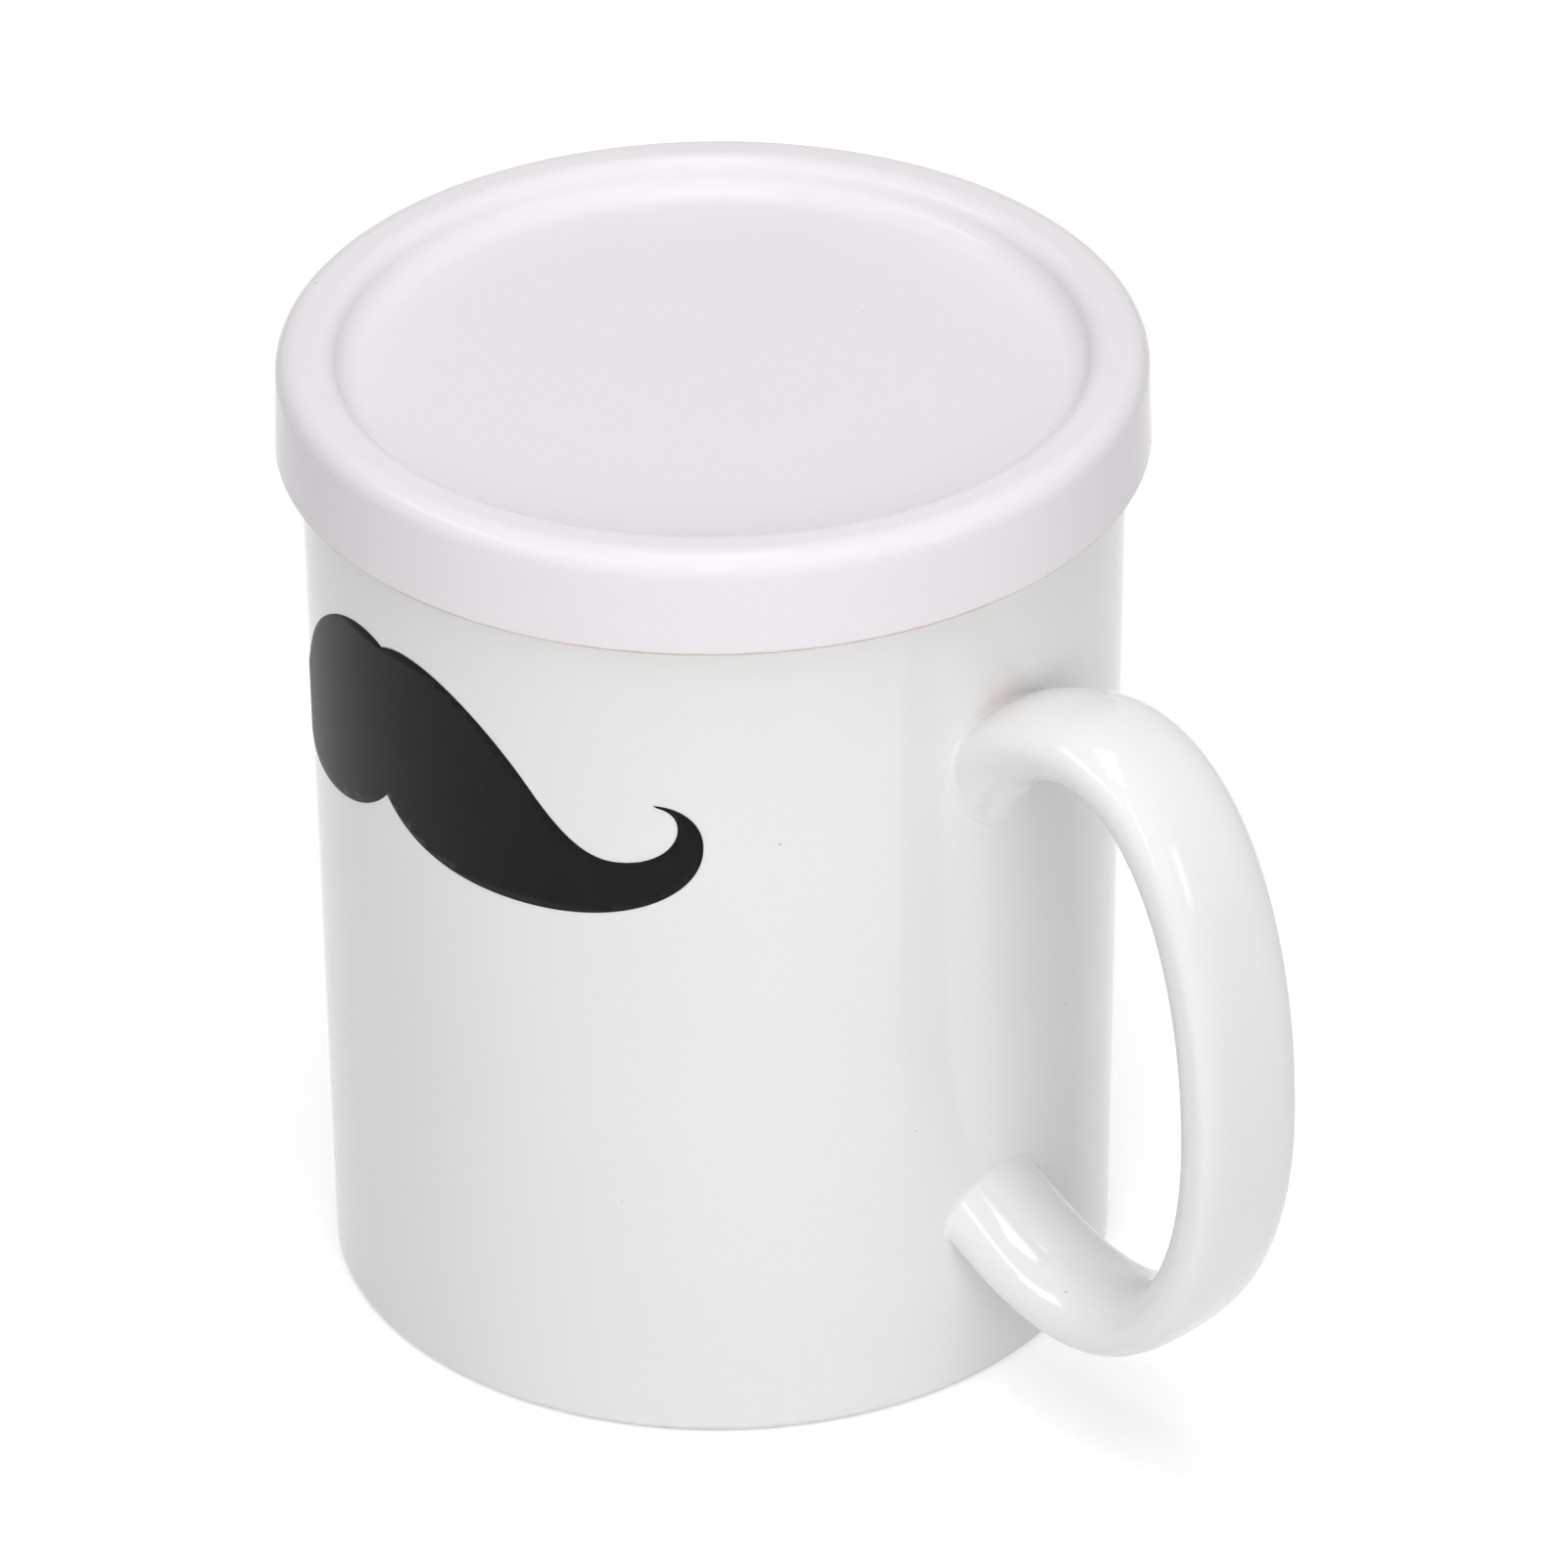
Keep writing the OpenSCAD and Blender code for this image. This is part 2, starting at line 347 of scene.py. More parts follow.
@dataclass
class StrapHandle:
    """Rolled strap handle with a flat outer face and oval ends, which are filleted to the wall."""

    mug: MugBody
    top_z: float = 74.8
    low_z: float = 19.0
    mid_z: float = 43.2
    reach: float = 32.49
    top_rise: float = 39.0
    low_drop: float = 31.0
    top_pull: float = 25.9
    upper_pull: float = 26.4
    lower_pull: float = 19.1
    low_pull: float = 26.0
    strap_w: float = 13.6
    end_w: float = 13.4
    top_t: float = 10.7
    mid_t: float = 5.9
    low_t: float = 7.1
    neck_t: float = 7.0
    pad_from: float = -0.085
    pad_run: float = 0.17
    fillet: float = 0.45
    grip_face: float = 0.4
    end_face: float = 0.33
    face_power: float = 0.55
    back_power: float = 0.85
    seat_depth: float = 0.4
    root: float = 24.0
    clear_step: float = 0.5
    ring_count: int = 150
    ring_points: int = 72
    seat_rings: int = 6
    halvings: int = 40

    def __post_init__(self) -> None:
        """Works out the two curves of the centre line, in radius and height."""
        rise, drop = math.radians(self.top_rise), math.radians(self.low_drop)
        top = Vector((self.mug.wall_radius(self.top_z), self.top_z))
        low = Vector((self.mug.wall_radius(self.low_z), self.low_z))
        mid = Vector((self.mug.wall_radius(self.mid_z) + self.reach, self.mid_z))
        top_end = top + self.top_pull * Vector((math.cos(rise), math.sin(rise)))
        low_end = low + self.low_pull * Vector((math.cos(drop), -math.sin(drop)))
        self.upper = [top, top_end, mid + Vector((0, self.upper_pull)), mid]
        self.lower = [mid, mid - Vector((0, self.lower_pull)), low_end, low]

    def centre(self, t: float) -> tuple[Vector, Vector]:
        """Finds the centre line at a step, which runs straight on inside the wall.

        Args:
            t: Step along the strap: 0 at the upper wall, 1 at the furthest point, 2 at the lower wall.

        Returns:
            The point and the slope there, in radius and height.
        """
        curve, share = (self.upper, t) if t <= 1 else (self.lower, t - 1)
        held = min(1.0, max(0.0, share))
        slope = cubic_slope(curve, held)
        return cubic(curve, held) + slope * (share - held), slope

    def rail(self, t: float, k: int) -> Vector:
        """Finds a point on the strap's skin.

        Args:
            t: Step along the strap.
            k: Number of the point round the section.

        Returns:
            The point in millimetres.
        """
        point, slope = self.centre(t)
        way = slope.normalized()
        end = math.cos(math.pi / 2 * min(2.0, max(0.0, t))) ** 2
        thick = between(self.mid_t, self.top_t if t < 1 else self.low_t, end)
        half_w = between(self.strap_w, self.end_w, end) / 2
        outside = between(self.grip_face, self.end_face, end)
        a = math.tau * k / self.ring_points
        face = 2 * k <= self.ring_points
        power = between(self.face_power if face else self.back_power, 1.0, end)
        depth = thick * (outside if face else 1 - outside)
        # The underside of the upper end swells from a thin neck to a thumb pad at the wall.
        if t < 1 and not face:
            fade = min(1.0, max(0.0, 1 - (t - self.pad_from) / self.pad_run)) ** 2
            neck = between(self.mid_t, self.neck_t, end)
            depth = between(neck, self.top_t, fade) * (1 - outside)
        across, up = (math.copysign(abs(v) ** power, v) for v in (math.cos(a), math.sin(a)))
        spot = point + Vector((-way.y, way.x)) * depth * up
        return Vector((spot.x, half_w * across, spot.y))

    def on_wall(self, p: Vector, sunk: float) -> Vector:
        """Moves a point level to the wall.

        Args:
            p: The point.
            sunk: Depth below the wall's skin.

        Returns:
            The moved point.
        """
        return cone_point(self.mug.wall_radius(p.z) - sunk, math.atan2(p.y, p.x), p.z)

    def meet(self, k: int, inside: float, outside: float) -> float:
        """Finds where one rail of the strap meets the wall.

        Args:
            k: Number of the rail.
            inside: Step that lies inside the clay of the wall.
            outside: Step that lies outside it.

        Returns:
            Step of the meeting point.
        """
        for _ in range(self.halvings):
            middle = (inside + outside) / 2
            p = self.rail(middle, k)
            if math.hypot(p.x, p.y) < self.mug.wall_radius(p.z):
                inside = middle
            else:
                outside = middle
        return outside

    def seat(self, meets: Sequence[float], lead: float) -> list[Ring]:
        """Makes the rings of one end, from inside the wall and over the fillet.

        Args:
            meets: Steps where the rails meet the wall.
            lead: Step from there to where the fillet leaves the strap.

        Returns:
            The rings, from the wall outwards.
        """
        rows: list[Ring] = [[] for _ in range(1 + self.seat_rings)]
        for k, meet in enumerate(meets):
            hit, start, (middle, _) = self.rail(meet, k), self.rail(meet + lead, k), self.centre(meet)
            outward = hit - Vector((middle.x, 0, middle.y))
            normal = Vector((hit.x, hit.y, 0)).normalized()
            spread = (outward - normal * outward.dot(normal)).normalized()
            foot = self.on_wall(hit + spread * self.fillet, 0)
            rows[0].append(self.on_wall(foot, self.seat_depth))
            for i in range(self.seat_rings):
                s = i / self.seat_rings
                rows[1 + i].append((1 - s) ** 2 * foot + 2 * s * (1 - s) * hit + s * s * start)
        return rows

    def build(self, material: bpy.types.Material) -> bpy.types.Object:
        """Makes the handle and dresses it.

        Args:
            material: Glaze of the cup.

        Returns:
            The new object.
        """
        points = range(self.ring_points)
        top_run, low_run = self.centre(0)[1].length, self.centre(2)[1].length
        top_meets = [self.meet(k, -self.root / top_run, self.clear_step) for k in points]
        low_meets = [self.meet(k, 2 + self.root / low_run, 2 - self.clear_step) for k in points]
        top_lead, low_lead = self.fillet / top_run, -self.fillet / low_run
        strap: list[Ring] = []
        for i in range(self.ring_count + 1):
            s = i / self.ring_count
            steps = [between(top_meets[k] + top_lead, low_meets[k] + low_lead, s) for k in points]
            strap.append([self.rail(steps[k], k) for k in points])
        rows = self.seat(top_meets, top_lead) + strap + self.seat(low_meets, low_lead)[::-1]
        tips = [[sum(ring, Vector()) / len(ring)] for ring in (rows[0], rows[-1])]
        bm = bmesh.new()
        skin(bm, [[bm.verts.new(p) for p in ring] for ring in [tips[0], *rows, tips[1]]])
        return Piece("mug_handle", Body.CUP, Slot.BODY_GLAZE, "handle").place(bm, material)


@dataclass
class MoustachePrint:
    """Handlebar moustache, a fired transfer on the wall a quarter turn from the handle."""

    mug: MugBody
    width: float = 72.4
    height: float = 23.6
    low_z: float = 60.8
    turn: float = 96.5
    thick: float = 0.08
    sunk: float = 0.03
    grid: float = 1.0
    edge_step: float = 0.35
    weld: float = 0.0035
    curve_shares: tuple[tuple[tuple[float, float], ...], ...] = (
        ((0, 0.953), (0.15, 1.055), (0.36, 0.88), (0.517, 0.564)),
        ((0.517, 0.564), (0.611, 0.373), (0.677, 0.284), (0.76, 0.284)),
        ((0.76, 0.284), (0.862, 0.284), (0.932, 0.369), (0.932, 0.47)),
        ((0.932, 0.47), (0.932, 0.525), (0.909, 0.559), (0.867, 0.57)),
        ((0.867, 0.575), (0.95, 0.575), (1, 0.49), (1, 0.386)),
        ((1, 0.386), (1, 0.165), (0.826, 0), (0.511, 0)),
        ((0.511, 0), (0.249, 0), (0.088, 0.081), (0, 0.237)),
    )

    def outline(self) -> list[Vector]:
        """Draws the print on the unrolled wall: the right half from the shares, the left half mirrored.

        Returns:
            Points of the closed outline.
        """
        right: list[Vector] = []
        for curve in self.curve_shares:
            points = [Vector((x * self.width / 2, y * self.height)) for x, y in curve]
            steps = math.ceil(sum((b - a).length for a, b in zip(points, points[1:])) / self.edge_step)
            right += [cubic(points, i / steps) for i in range(steps)]
        right.append(points[-1])
        return right + [Vector((-p.x, p.y)) for p in right[-2:0:-1]]

    def inner_points(self) -> list[Vector]:
        """Lays out a grid that lets the print follow the round wall.

        Returns:
            Points of the grid on the unrolled wall.
        """
        columns, rows = int(self.width / self.grid), int(self.height / self.grid)
        corner = Vector((-self.width / 2, 0))
        places = [(i, j) for i in range(1, columns) for j in range(1, rows)]
        return [corner + self.grid * Vector(place) for place in places]

    def wrap(self, p: Vector, rise: float) -> Vector:
        """Rolls a point of the unrolled print round the wall.

        Args:
            p: Place along the wall from the print's middle, and height in the print.
            rise: Height above the wall's skin.

        Returns:
            The point in millimetres.
        """
        z = self.low_z + p.y
        radius = self.mug.wall_radius(z)
        return cone_point(radius + rise, p.x / radius - math.radians(self.turn), z)

    def build(self, material: bpy.types.Material) -> bpy.types.Object:
        """Makes the print as a thin closed skin and dresses it.

        Args:
            material: The fired ink.

        Returns:
            The new object.
        """
        edge = self.outline()
        count = len(edge)
        inside_only = 1
        points, _, faces, *_ = delaunay_2d_cdt(
            edge + self.inner_points(), [], [list(range(count))], inside_only, self.weld
        )
        bm = bmesh.new()
        used = sorted({i for f in faces for i in f})
        top = {i: bm.verts.new(self.wrap(points[i], self.thick)) for i in used}
        low = {i: bm.verts.new(self.wrap(points[i], -self.sunk)) for i in used}
        for f in faces:
            bm.faces.new([top[i] for i in f])
            bm.faces.new([low[i] for i in reversed(f)])
        for e in [e for e in bm.edges if e.is_boundary]:
            a, b = (next(i for i in used if v in (top[i], low[i])) for v in e.verts)
            if e.verts[0] is top[a]:
                bm.faces.new((top[a], top[b], low[b], low[a]))
        return Piece("moustache_transfer", Body.CUP, Slot.PRINT_INK, "moustache_print").place(bm, material)


@dataclass
class CapLid:
    """Cap lid with a short skirt over the lip and a dished top."""

    mug: MugBody
    height: float = 10.6
    skirt_h: float = 3.4
    skirt_t: float = 2.05
    lean: float = 2.0
    crest_edge: float = 2.4
    crest_w: float = 1.6
    dish_depth: float = 3.6
    dish_run: float = 4.6
    dish_convex: float = 0.42
    skirt_edge: float = 0.5
    seat_fillet: float = 1.0
    lid_gap: float = 0.4
    seat_gap: float = 0.3
    bare_h: float = 0.35
    segments: int = 240

    def __post_init__(self) -> None:
        """Works out the heights and radii where the lid sits on the lip."""
        self.seat_z = self.mug.height + self.seat_gap
        self.skirt_z = self.seat_z - self.skirt_h
        self.crest_z = self.skirt_z + self.height
        self.inner_r = self.mug.rim_d / 2 + self.lid_gap
        self.outer_r = self.inner_r + self.skirt_t

    def profile(self) -> Profile:
        """Draws the outline from the seat, down the skirt, up the side, over the crest and into the dish.

        Returns:
            The outline.
        """
        crest_out = self.outer_r - (self.height - self.crest_edge) * math.tan(math.radians(self.lean))
        crest = Vector((crest_out - self.crest_edge, self.crest_z - self.crest_edge))
        hem_in = Vector((self.inner_r + self.skirt_edge, self.skirt_z + self.skirt_edge))
        hem = Vector((self.outer_r - self.skirt_edge, self.skirt_z + self.skirt_edge))
        side = touch_angle(hem, self.skirt_edge, crest, self.crest_edge)
        seat = Vector((self.inner_r - self.seat_fillet, self.seat_z - self.seat_fillet))
        dish_a = 2 * math.degrees(math.atan(self.dish_depth / self.dish_run))
        arcs = self.dish_run / math.sin(math.radians(dish_a))
        convex, concave = self.dish_convex * arcs, (1 - self.dish_convex) * arcs
        dish_top = crest.x - self.crest_w
        dish_z = self.crest_z - self.dish_depth
        p = Profile().start(0, self.seat_z).arc(seat, self.seat_fillet, 90, 0)
        p.arc(hem_in, self.skirt_edge, 180, 270).arc(hem, self.skirt_edge, -90, side)
        p.arc(crest, self.crest_edge, side, 90)
        p.arc(Vector((dish_top, self.crest_z - convex)), convex, 90, 90 + dish_a)
        p.arc(Vector((dish_top - self.dish_run, dish_z + concave)), concave, dish_a - 90, -90)
        return p.line(Vector((0, dish_z)))

    def build(self, material: bpy.types.Material) -> bpy.types.Object:
        """Makes the lid and dresses it.

        Args:
            material: Glaze of the lid.

        Returns:
            The new object.
        """
        piece = Piece("cap_lid", Body.LID, Slot.LID_GLAZE, "lid")
        return piece.place(turned(self.profile(), self.segments), material)


class Sheet:
    """Short way to place and join the nodes of one tree."""

    def __init__(self, tree: bpy.types.NodeTree) -> None:
        """Takes an empty tree."""
        self.tree = tree

    def add(
        self, kind: str, values: dict[str | int, object] | None = None, **settings: object
    ) -> bpy.types.Node:
        """Places a node.

        Args:
            kind: Blender's name for the kind of node.
            values: Input values or sockets to join, by the inputs' names or numbers.
            **settings: Properties of the node.

        Returns:
            The new node.
        """
        node = self.tree.nodes.new(kind)
        for key, value in settings.items():
            setattr(node, key, value)
        for key, value in (values or {}).items():
            if isinstance(value, bpy.types.NodeSocket):
                self.tree.links.new(value, node.inputs[key])
            else:
                node.inputs[key].default_value = value
        return node

    def effect(self, group: bpy.types.NodeTree, values: dict[str | int, object]) -> bpy.types.Node:
        """Places a shader group with values of its own."""
        return self.add("ShaderNodeGroup", values, node_tree=group)

    def math(self, operation: str, a: object, b: object, clamp: bool = False) -> bpy.types.NodeSocket:
        """Joins two values by arithmetic.

        Args:
            operation: Name of the arithmetic.
            a: First value or socket.
            b: Second value or socket.
            clamp: True to keep the result from 0 to 1.

        Returns:
            The socket of the result.
        """
        node = self.add("ShaderNodeMath", {0: a, 1: b}, operation=operation, use_clamp=clamp)
        return node.outputs[0]

    def mix(self, share: object, a: object, b: object) -> bpy.types.NodeSocket:
        """Mixes two colours.

        Args:
            share: Share of the second colour.
            a: First colour or socket.
            b: Second colour or socket.

        Returns:
            The socket of the mixed colour.
        """
        node = self.add("ShaderNodeMix", data_type="RGBA")
        for name, value in (("Factor_Float", share), ("A_Color", a), ("B_Color", b)):
            socket = next(s for s in node.inputs if s.identifier == name)
            if isinstance(value, bpy.types.NodeSocket):
                self.tree.links.new(value, socket)
            else:
                socket.default_value = value
        return next(s for s in node.outputs if s.identifier == "Result_Color")

    def place_mm(self) -> bpy.types.NodeSocket:
        """Place on the piece in millimetres, which moves with the piece."""
        spot = self.add("ShaderNodeTexCoord").outputs["Object"]
        return self.add("ShaderNodeVectorMath", {0: spot, "Scale": 1 / MM}, operation="SCALE").outputs[0]

    def noise(self, spot: bpy.types.NodeSocket, size: object, detail: float) -> bpy.types.NodeSocket:
        """Cloudy noise.

        Args:
            spot: Place in millimetres.
            size: Size of one cloud in millimetres, or its socket.
            detail: Finer layers of cloud.

        Returns:
            The socket of the noise, about 0 to 1.
        """
        scale = self.math("DIVIDE", 1.0, size)
        node = self.add("ShaderNodeTexNoise", {"Vector": spot, "Scale": scale, "Detail": detail})
        return node.outputs["Fac"]


def new_group(
    name: str, inputs: dict[str, tuple[str, object]], outputs: dict[str, str]
) -> tuple[Sheet, bpy.types.Node, bpy.types.Node]:
    """Starts a shader group.

    Args:
        name: Name of the group.
        inputs: Kind and first value of each input socket, by name.
        outputs: Kind of each output socket, by name.

    Returns:
        The group's sheet, its input node and its output node.
    """
    tree = bpy.data.node_groups.new(name, "ShaderNodeTree")
    for key, (kind, value) in inputs.items():
        tree.interface.new_socket(key, in_out="INPUT", socket_type=kind).default_value = value
    for key, kind in outputs.items():
        tree.interface.new_socket(key, in_out="OUTPUT", socket_type=kind)
    sheet = Sheet(tree)
    return sheet, sheet.add("NodeGroupInput"), sheet.add("NodeGroupOutput")


class Effects:
    """Shader groups that the glazes and the ink share, each built once."""

    FLOAT = "NodeSocketFloat"
    COLOUR = "NodeSocketColor"
    GREY = (0.8, 0.8, 0.8, 1)
    PEEL_DETAIL = 1.0
    WAVE_DETAIL = 0.0
    CLOUD_DETAIL = 2.0
    WANDER_SIZE = 3.0
    SPECK_POWER = 0.5

    def __init__(self) -> None:
        """Builds every group."""
        self.skin = self.make_skin()
        self.tone = self.make_tone()
        self.specks = self.make_specks()
        self.band = self.make_band()

    def make_skin(self) -> bpy.types.NodeTree:
        """Makes the fine peel and slow waves of a fired skin, as a height in metres and a change of gloss.

        Returns:
            The group.
        """
        sheet, given, out = new_group(
            "fired_skin",
            {
                "Peel Size": (self.FLOAT, 1.0),
                "Peel Height": (self.FLOAT, 0.001),
                "Wave Size": (self.FLOAT, 12.0),
                "Wave Height": (self.FLOAT, 0.02),
                "Gloss": (self.FLOAT, 0.1),
                "Gloss Change": (self.FLOAT, 0.02),
            },
            {"Height": self.FLOAT, "Roughness": self.FLOAT},
        )
        spot = sheet.place_mm()
        peel = sheet.noise(spot, given.outputs["Peel Size"], self.PEEL_DETAIL)
        wave = sheet.noise(spot, given.outputs["Wave Size"], self.WAVE_DETAIL)
        peel_mm = sheet.math("MULTIPLY", peel, given.outputs["Peel Height"])
        wave_mm = sheet.math("MULTIPLY", wave, given.outputs["Wave Height"])
        height = sheet.math("MULTIPLY", sheet.math("ADD", peel_mm, wave_mm), MM)
        swing = sheet.math("SUBTRACT", wave, HALF)
        change = sheet.math("MULTIPLY", swing, given.outputs["Gloss Change"])
        rough = sheet.math("ADD", given.outputs["Gloss"], change)
        sheet.tree.links.new(height, out.inputs["Height"])
        sheet.tree.links.new(rough, out.inputs["Roughness"])
        return sheet.tree

    def make_tone(self) -> bpy.types.NodeTree:
        """Makes the slow drift between two tones that glaze of uneven depth shows.

        Returns:
            The group.
        """
        sheet, given, out = new_group(
            "glaze_drift",
            {
                "Deep": (self.COLOUR, self.GREY),
                "Thin": (self.COLOUR, self.GREY),
                "Cloud Size": (self.FLOAT, 24.0),
                "Contrast": (self.FLOAT, 1.6),
            },
            {"Color": self.COLOUR},
        )
        cloud = sheet.noise(sheet.place_mm(), given.outputs["Cloud Size"], self.CLOUD_DETAIL)
        swing = sheet.math("SUBTRACT", cloud, HALF)
        spread = sheet.math("MULTIPLY", swing, given.outputs["Contrast"])
        share = sheet.math("ADD", spread, HALF, clamp=True)
        colour = sheet.mix(share, given.outputs["Deep"], given.outputs["Thin"])
        sheet.tree.links.new(colour, out.inputs["Color"])
        return sheet.tree

    def make_specks(self) -> bpy.types.NodeTree:
        """Makes scattered small specks, such as iron spots in glaze or pinholes in ink.

        Returns:
            The group.
        """
        sheet, given, out = new_group(
            "fired_specks",
            {"Cell": (self.FLOAT, 5.0), "Radius": (self.FLOAT, 0.2), "Share": (self.FLOAT, 0.5)},
            {"Mask": self.FLOAT},
        )
        scale = sheet.math("DIVIDE", 1.0, given.outputs["Cell"])
        cells = sheet.add("ShaderNodeTexVoronoi", {"Vector": sheet.place_mm(), "Scale": scale})
        away = sheet.math("MULTIPLY", cells.outputs["Distance"], given.outputs["Cell"])
        near = sheet.math("SUBTRACT", 1.0, sheet.math("DIVIDE", away, given.outputs["Radius"]), clamp=True)
        pick = sheet.add("ShaderNodeSeparateColor", {0: cells.outputs["Color"]}).outputs[0]
        kept = sheet.math("LESS_THAN", pick, given.outputs["Share"])
        soft = sheet.math("POWER", near, self.SPECK_POWER)
        sheet.tree.links.new(sheet.math("MULTIPLY", soft, kept), out.inputs["Mask"])
        return sheet.tree

    def make_band(self) -> bpy.types.NodeTree:
        """Makes a band between two heights on the piece, with a soft, slightly wandering border.

        Returns:
            The group.
        """
        sheet, given, out = new_group(
            "height_band",
            {
                "Low": (self.FLOAT, 0.0),
                "High": (self.FLOAT, 1.0),
                "Soft": (self.FLOAT, 0.2),
                "Wander": (self.FLOAT, 0.2),
            },
            {"Mask": self.FLOAT},
        )
        spot = sheet.place_mm()
        cloud = sheet.math("SUBTRACT", sheet.noise(spot, self.WANDER_SIZE, self.CLOUD_DETAIL), HALF)
        z = sheet.add("ShaderNodeSeparateXYZ", {0: spot}).outputs["Z"]
        moved = sheet.math("ADD", z, sheet.math("MULTIPLY", cloud, given.outputs["Wander"]))
        over = sheet.math("SUBTRACT", moved, given.outputs["Low"])
        under = sheet.math("SUBTRACT", given.outputs["High"], moved)
        inside = sheet.math("MINIMUM", over, under)
        share = sheet.math("ADD", sheet.math("DIVIDE", inside, given.outputs["Soft"]), HALF, clamp=True)
        sheet.tree.links.new(share, out.inputs["Mask"])
        return sheet.tree


def new_material(name: str) -> tuple[bpy.types.Material, Sheet, bpy.types.Node]:
    """Starts a material.

    Args:
        name: Name of the material.

    Returns:
        The material, its sheet and its Principled shader, which is joined to the output.
    """
    material = bpy.data.materials.new(name)
    material.use_nodes = True
    material.node_tree.nodes.clear()
    sheet = Sheet(material.node_tree)
    shader = sheet.add("ShaderNodeBsdfPrincipled")
    sheet.add("ShaderNodeOutputMaterial", {"Surface": shader.outputs[0]})
    return material, sheet, shader


def roll_skin(sheet: Sheet, shader: bpy.types.Node, fired: bpy.types.Node) -> None:
    """Gives a shader the fine relief of a fired skin.

    Args:
        sheet: Sheet of the material.
        shader: Principled shader of the material.
        fired: The group of the fired skin, placed on the sheet.
    """
    relief = {"Height": fired.outputs["Height"], "Distance": 1.0, "Strength": 1.0}
    bump = sheet.add("ShaderNodeBump", relief)
    sheet.tree.links.new(bump.outputs[0], shader.inputs["Normal"])


@dataclass(frozen=True)
class Glaze:
    """White gloss glaze over pale clay, which is left bare where the piece stood in the kiln."""

    name: str
    bare_low: float
    bare_high: float
    lip_low: float
    lip_high: float
    deep: Colour = (0.835, 0.835, 0.84, 1)
    thin: Colour = (0.82, 0.817, 0.817, 1)
    lip: Colour = (0.76, 0.745, 0.725, 1)
    clay: Colour = (0.66, 0.55, 0.45, 1)
    speck: Colour = (0.36, 0.32, 0.3, 1)
    # Warm, darker colour laid in cloudy patches round a point where the top of the handle meets the wall.
    join_tint: Colour = (0.74, 0.6, 0.5, 1)
    join_tint_at: tuple[float, float, float] = (42.6, -0.8, 80.4)
    join_tint_radius: float = 4.2
    join_tint_share: float = 0.7
    join_tint_cloud: float = 1.4
    join_tint_detail: float = 3.0
    speck_cell: float = 6.5
    speck_radius: float = 0.15
    speck_share: float = 0.45
    lip_soft: float = 0.9
    lip_wander: float = 0.5
    bare_soft: float = 0.25
    bare_wander: float = 0.35
    gloss: float = 0.03
    clay_roughness: float = 0.75
    specular: float = 0.5
    ior: float = 1.52

    def make(self, effects: Effects) -> bpy.types.Material:
        """Builds the material.

        Args:
            effects: Groups shared by the finishes.

        Returns:
            The glaze.
        """
        material, sheet, shader = new_material(self.name)
        tone = sheet.effect(effects.tone, {"Deep": self.deep, "Thin": self.thin})
        lip = sheet.effect(
            effects.band,
            {
                "Low": self.lip_low,
                "High": self.lip_high,
                "Soft": self.lip_soft,
                "Wander": self.lip_wander,
            },
        )
        bare = sheet.effect(
            effects.band,
            {
                "Low": self.bare_low,
                "High": self.bare_high,
                "Soft": self.bare_soft,
                "Wander": self.bare_wander,
            },
        )
        specks = sheet.effect(
            effects.specks,
            {"Cell": self.speck_cell, "Radius": self.speck_radius, "Share": self.speck_share},
        )
        fired = sheet.effect(effects.skin, {"Gloss": self.gloss})
        spot = sheet.place_mm()
        # Warm, darker cloudy patches, fading out round a point where the top of the handle meets the wall.
        gap = sheet.add("ShaderNodeVectorMath", {0: spot, 1: self.join_tint_at}, operation="DISTANCE")
        away = sheet.math("DIVIDE", gap.outputs["Value"], self.join_tint_radius)
        near = sheet.math("SUBTRACT", 1.0, away, clamp=True)
        patches = sheet.noise(spot, self.join_tint_cloud, self.join_tint_detail)
        cloud = sheet.math("MULTIPLY", patches, self.join_tint_share)
        tinted = sheet.mix(sheet.math("MULTIPLY", near, cloud), tone.outputs["Color"], self.join_tint)
        spotted = sheet.mix(specks.outputs["Mask"], tinted, self.speck)
        thinned = sheet.mix(lip.outputs["Mask"], spotted, self.lip)
        colour = sheet.mix(bare.outputs["Mask"], thinned, self.clay)
        sheet.tree.links.new(colour, shader.inputs["Base Color"])
        dull = sheet.math("MULTIPLY", bare.outputs["Mask"], self.clay_roughness)
        rough = sheet.math("MAXIMUM", fired.outputs["Roughness"], dull)
        sheet.tree.links.new(rough, shader.inputs["Roughness"])
        roll_skin(sheet, shader, fired)
        shader.inputs["IOR"].default_value = self.ior
        shader.inputs["Specular IOR Level"].default_value = self.specular
        return material


@dataclass(frozen=True)
class TransferInk:
    """Charcoal transfer that was fired into the glaze, with a soft gloss."""

    name: str = "charcoal_transfer"
    dark: Colour = (0.0045, 0.0045, 0.005, 1)
    worn: Colour = (0.008, 0.008, 0.0085, 1)
    pinhole: Colour = (0.06, 0.06, 0.06, 1)
    cloud: float = 6.0
    hole_cell: float = 2.6
    hole_radius: float = 0.09
    hole_share: float = 0.5
    gloss: float = 0.42
    specular: float = 0.12

    def make(self, effects: Effects) -> bpy.types.Material:
        """Builds the material.

        Args:
            effects: Groups shared by the finishes.

        Returns:
            The ink.
        """
        material, sheet, shader = new_material(self.name)
        tone = sheet.effect(
            effects.tone, {"Deep": self.dark, "Thin": self.worn, "Cloud Size": self.cloud}
        )
        holes = sheet.effect(
            effects.specks,
            {"Cell": self.hole_cell, "Radius": self.hole_radius, "Share": self.hole_share},
        )
        fired = sheet.effect(effects.skin, {"Gloss": self.gloss})
        colour = sheet.mix(holes.outputs["Mask"], tone.outputs["Color"], self.pinhole)
        sheet.tree.links.new(colour, shader.inputs["Base Color"])
        sheet.tree.links.new(fired.outputs["Roughness"], shader.inputs["Roughness"])
        roll_skin(sheet, shader, fired)
        shader.inputs["Specular IOR Level"].default_value = self.specular
        return material


